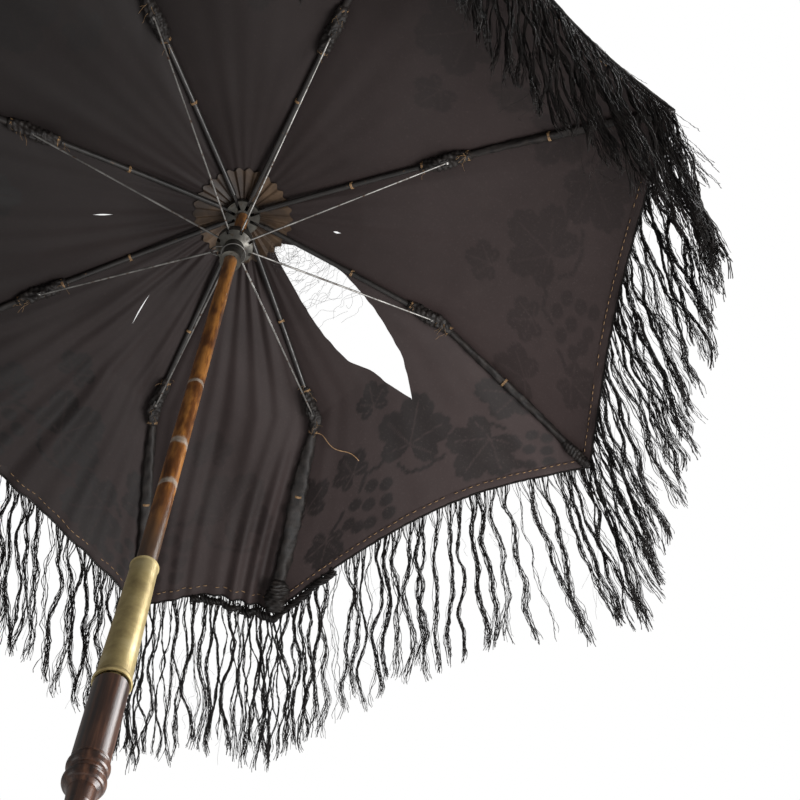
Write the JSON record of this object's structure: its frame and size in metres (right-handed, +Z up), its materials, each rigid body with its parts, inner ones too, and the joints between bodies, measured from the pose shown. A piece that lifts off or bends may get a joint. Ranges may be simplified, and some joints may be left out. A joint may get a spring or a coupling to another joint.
{
  "type": "folding parasol",
  "caption": "Open parasol with curved ribs, wire stretchers on a sliding runner, a dark figured silk canopy with a long hanging fringe, and a folding stick behind a sliding sleeve.",
  "frame": {"origin": "middle of the grip, on the stick's axis", "axes": "+Z straight up, against gravity; the shaft leans 46 degrees from +Z towards +Y; +X to the right"},
  "size_m": [0.5579, 0.6301, 0.6168],
  "materials": {
    "rosewood": "polished, worn",
    "brass": "aged, satin",
    "cane": "varnished, mottled and worn",
    "ferrule": "ebonised, satin",
    "crown_metal": "oxidised",
    "wire": "dull",
    "rosette_silk": "pleated silk",
    "rib": "black enamel, chipped",
    "rib_joint": "black",
    "rib_tip": "black",
    "stretcher": "rust-spotted",
    "canopy_silk": "figured silk damask",
    "fringe_silk": "crimped silk yarn"
  },
  "bodies": {
    "handle": {"handle": "rosewood", "hinge_fork": "brass", "hinge_pin": "wire"},
    "stick": {"shaft": "cane", "hinge_tongue": "brass", "top_notch": "crown_metal", "notch_wire": "wire", "ferrule": "ferrule", "rosette": "rosette_silk"},
    "sleeve": {"brass_sleeve": "brass"},
    "runner": {"runner": "crown_metal", "runner_wire": "wire"},
    "rib_1": {"rib_1": "rib", "rib_joint_1": "rib_joint", "rib_tip_1": "rib_tip", "canopy_1": "canopy_silk"},
    "rib_2": {"rib_2": "rib", "rib_joint_2": "rib_joint", "rib_tip_2": "rib_tip", "canopy_2": "canopy_silk"},
    "rib_3": {"rib_3": "rib", "rib_joint_3": "rib_joint", "rib_tip_3": "rib_tip", "canopy_3": "canopy_silk"},
    "rib_4": {"rib_4": "rib", "rib_joint_4": "rib_joint", "rib_tip_4": "rib_tip", "canopy_4": "canopy_silk"},
    "rib_5": {"rib_5": "rib", "rib_joint_5": "rib_joint", "rib_tip_5": "rib_tip", "canopy_5": "canopy_silk"},
    "rib_6": {"rib_6": "rib", "rib_joint_6": "rib_joint", "rib_tip_6": "rib_tip", "canopy_6": "canopy_silk"},
    "rib_7": {"rib_7": "rib", "rib_joint_7": "rib_joint", "rib_tip_7": "rib_tip", "canopy_7": "canopy_silk"},
    "rib_8": {"rib_8": "rib", "rib_joint_8": "rib_joint", "rib_tip_8": "rib_tip", "canopy_8": "canopy_silk"},
    "stretcher_1": {"stretcher_1": "stretcher"},
    "stretcher_2": {"stretcher_2": "stretcher"},
    "stretcher_3": {"stretcher_3": "stretcher"},
    "stretcher_4": {"stretcher_4": "stretcher"},
    "stretcher_5": {"stretcher_5": "stretcher"},
    "stretcher_6": {"stretcher_6": "stretcher"},
    "stretcher_7": {"stretcher_7": "stretcher"},
    "stretcher_8": {"stretcher_8": "stretcher"},
    "fringe_1": {"fringe_1": "fringe_silk"},
    "fringe_2": {"fringe_2": "fringe_silk"},
    "fringe_3": {"fringe_3": "fringe_silk"},
    "fringe_4": {"fringe_4": "fringe_silk"},
    "fringe_5": {"fringe_5": "fringe_silk"},
    "fringe_6": {"fringe_6": "fringe_silk"},
    "fringe_7": {"fringe_7": "fringe_silk"},
    "fringe_8": {"fringe_8": "fringe_silk"}
  },
  "joints": [
    {"name": "stick_fold", "type": "hinge", "parent": "handle", "child": "stick", "pos_m": [0, 0.08344, 0.08058], "axis": [1, 0, 0], "range_deg": [0, 110]},
    {"name": "sleeve_slide", "type": "slide", "parent": "stick", "child": "sleeve", "axis": [0, 0.7193, 0.6947], "range_m": [0, 0.05]},
    {"name": "canopy_fold", "type": "hinge", "parent": "stick", "child": "rib_1", "pos_m": [-0.00297, 0.44009, 0.4368], "axis": [0.9438, -0.2296, 0.2378], "range_deg": [0, 64], "deforming": ["canopy_1"]},
    {"name": "rib_2_fold", "type": "hinge", "parent": "stick", "child": "rib_2", "pos_m": [0.0039, 0.44036, 0.43652], "axis": [0.9011, 0.3012, -0.3119], "range_deg": [0, 64], "deforming": ["canopy_2"]},
    {"name": "rib_3_fold", "type": "hinge", "parent": "stick", "child": "rib_3", "pos_m": [0.00849, 0.44392, 0.43283], "axis": [0.3305, 0.6556, -0.6789], "range_deg": [0, 64], "deforming": ["canopy_3"]},
    {"name": "rib_4_fold", "type": "hinge", "parent": "stick", "child": "rib_4", "pos_m": [0.00811, 0.4487, 0.42788], "axis": [-0.4337, 0.6259, -0.6482], "range_deg": [0, 64], "deforming": ["canopy_4"]},
    {"name": "rib_5_fold", "type": "hinge", "parent": "stick", "child": "rib_5", "pos_m": [0.00297, 0.45189, 0.42458], "axis": [-0.9438, 0.2296, -0.2378], "range_deg": [0, 64], "deforming": ["canopy_5"]},
    {"name": "rib_6_fold", "type": "hinge", "parent": "stick", "child": "rib_6", "pos_m": [-0.0039, 0.45162, 0.42485], "axis": [-0.9011, -0.3012, 0.3119], "range_deg": [0, 64], "deforming": ["canopy_6"]},
    {"name": "rib_7_fold", "type": "hinge", "parent": "stick", "child": "rib_7", "pos_m": [-0.00849, 0.44806, 0.42855], "axis": [-0.3305, -0.6556, 0.6789], "range_deg": [0, 64], "deforming": ["canopy_7"]},
    {"name": "rib_8_fold", "type": "hinge", "parent": "stick", "child": "rib_8", "pos_m": [-0.00811, 0.44328, 0.4335], "axis": [0.4337, -0.6259, 0.6482], "range_deg": [0, 64], "deforming": ["canopy_8"]},
    {"name": "stretcher_1_swing", "type": "hinge", "parent": "rib_1", "child": "stretcher_1", "pos_m": [-0.04847, 0.32789, 0.50906], "axis": [0.9438, -0.2296, 0.2378], "range_deg": [-128, 0]},
    {"name": "stretcher_2_swing", "type": "hinge", "parent": "rib_2", "child": "stretcher_2", "pos_m": [0.0636, 0.33224, 0.50455], "axis": [0.9011, 0.3012, -0.3119], "range_deg": [-128, 0]},
    {"name": "stretcher_3_swing", "type": "hinge", "parent": "rib_3", "child": "stretcher_3", "pos_m": [0.13842, 0.39037, 0.44436], "axis": [0.3305, 0.6556, -0.6789], "range_deg": [-128, 0]},
    {"name": "stretcher_4_swing", "type": "hinge", "parent": "rib_4", "child": "stretcher_4", "pos_m": [0.13215, 0.46822, 0.36374], "axis": [-0.4337, 0.6259, -0.6482], "range_deg": [-128, 0]},
    {"name": "stretcher_5_swing", "type": "hinge", "parent": "rib_5", "child": "stretcher_5", "pos_m": [0.04847, 0.52019, 0.30992], "axis": [-0.9438, 0.2296, -0.2378], "range_deg": [-128, 0]},
    {"name": "stretcher_6_swing", "type": "hinge", "parent": "rib_6", "child": "stretcher_6", "pos_m": [-0.0636, 0.51584, 0.31443], "axis": [-0.9011, -0.3012, 0.3119], "range_deg": [-128, 0]},
    {"name": "stretcher_7_swing", "type": "hinge", "parent": "rib_7", "child": "stretcher_7", "pos_m": [-0.13842, 0.45771, 0.37462], "axis": [-0.3305, -0.6556, 0.6789], "range_deg": [-128, 0]},
    {"name": "stretcher_8_swing", "type": "hinge", "parent": "rib_8", "child": "stretcher_8", "pos_m": [-0.13215, 0.37986, 0.45524], "axis": [0.4337, -0.6259, 0.6482], "range_deg": [-128, 0]},
    {"name": "runner_pivot", "type": "hinge", "parent": "stretcher_1", "child": "runner", "pos_m": [-0.00297, 0.39618, 0.3944], "axis": [0.9438, -0.2296, 0.2378], "range_deg": [0, 64]},
    {"name": "fringe_1_hang", "type": "hinge", "parent": "rib_1", "child": "fringe_1", "pos_m": [-0.09576, 0.20166, 0.57486], "axis": [0.9438, -0.2296, 0.2378], "range_deg": [-64, 0], "deforming": ["fringe_1"]},
    {"name": "fringe_2_hang", "type": "hinge", "parent": "rib_2", "child": "fringe_2", "pos_m": [0.12564, 0.21025, 0.56596], "axis": [0.9011, 0.3012, -0.3119], "range_deg": [-64, 0], "deforming": ["fringe_2"]},
    {"name": "fringe_3_hang", "type": "hinge", "parent": "rib_3", "child": "fringe_3", "pos_m": [0.27344, 0.32508, 0.44705], "axis": [0.3305, 0.6556, -0.6789], "range_deg": [-64, 0], "deforming": ["fringe_3"]},
    {"name": "fringe_4_hang", "type": "hinge", "parent": "rib_4", "child": "fringe_4", "pos_m": [0.24299, 0.49843, 0.26754], "axis": [-0.4337, 0.6259, -0.6482], "range_deg": [-64, 0], "deforming": ["fringe_4"]},
    {"name": "fringe_5_hang", "type": "hinge", "parent": "rib_5", "child": "fringe_5", "pos_m": [0.02023, 0.58457, 0.17834], "axis": [-0.9438, 0.2296, -0.2378], "range_deg": [-64, 0], "deforming": ["fringe_5"]},
    {"name": "fringe_6_hang", "type": "hinge", "parent": "rib_6", "child": "fringe_6", "pos_m": [-0.07976, 0.58191, 0.1811], "axis": [-0.9011, -0.3012, 0.3119], "range_deg": [-64, 0], "deforming": ["fringe_6"]},
    {"name": "fringe_7_hang", "type": "hinge", "parent": "rib_7", "child": "fringe_7", "pos_m": [-0.27344, 0.45812, 0.30928], "axis": [-0.3305, -0.6556, 0.6789], "range_deg": [-64, 0], "deforming": ["fringe_7"]},
    {"name": "fringe_8_hang", "type": "hinge", "parent": "rib_8", "child": "fringe_8", "pos_m": [-0.26106, 0.30433, 0.46854], "axis": [0.4337, -0.6259, 0.6482], "range_deg": [-64, 0], "deforming": ["fringe_8"]}
  ],
  "couplings": [
    {"joint": "sleeve_slide", "follows": "stick_fold", "m_per_rad": 0.025},
    {"joint": "rib_2_fold", "follows": "canopy_fold", "ratio": 1},
    {"joint": "rib_3_fold", "follows": "canopy_fold", "ratio": 1},
    {"joint": "rib_4_fold", "follows": "canopy_fold", "ratio": 1},
    {"joint": "rib_5_fold", "follows": "canopy_fold", "ratio": 1},
    {"joint": "rib_6_fold", "follows": "canopy_fold", "ratio": 1},
    {"joint": "rib_7_fold", "follows": "canopy_fold", "ratio": 1},
    {"joint": "rib_8_fold", "follows": "canopy_fold", "ratio": 1},
    {"joint": "stretcher_1_swing", "follows": "canopy_fold", "ratio": -2},
    {"joint": "stretcher_2_swing", "follows": "canopy_fold", "ratio": -2},
    {"joint": "stretcher_3_swing", "follows": "canopy_fold", "ratio": -2},
    {"joint": "stretcher_4_swing", "follows": "canopy_fold", "ratio": -2},
    {"joint": "stretcher_5_swing", "follows": "canopy_fold", "ratio": -2},
    {"joint": "stretcher_6_swing", "follows": "canopy_fold", "ratio": -2},
    {"joint": "stretcher_7_swing", "follows": "canopy_fold", "ratio": -2},
    {"joint": "stretcher_8_swing", "follows": "canopy_fold", "ratio": -2},
    {"joint": "runner_pivot", "follows": "canopy_fold", "ratio": 1},
    {"joint": "fringe_1_hang", "follows": "canopy_fold", "ratio": -1},
    {"joint": "fringe_2_hang", "follows": "canopy_fold", "ratio": -1},
    {"joint": "fringe_3_hang", "follows": "canopy_fold", "ratio": -1},
    {"joint": "fringe_4_hang", "follows": "canopy_fold", "ratio": -1},
    {"joint": "fringe_5_hang", "follows": "canopy_fold", "ratio": -1},
    {"joint": "fringe_6_hang", "follows": "canopy_fold", "ratio": -1},
    {"joint": "fringe_7_hang", "follows": "canopy_fold", "ratio": -1},
    {"joint": "fringe_8_hang", "follows": "canopy_fold", "ratio": -1}
  ]
}
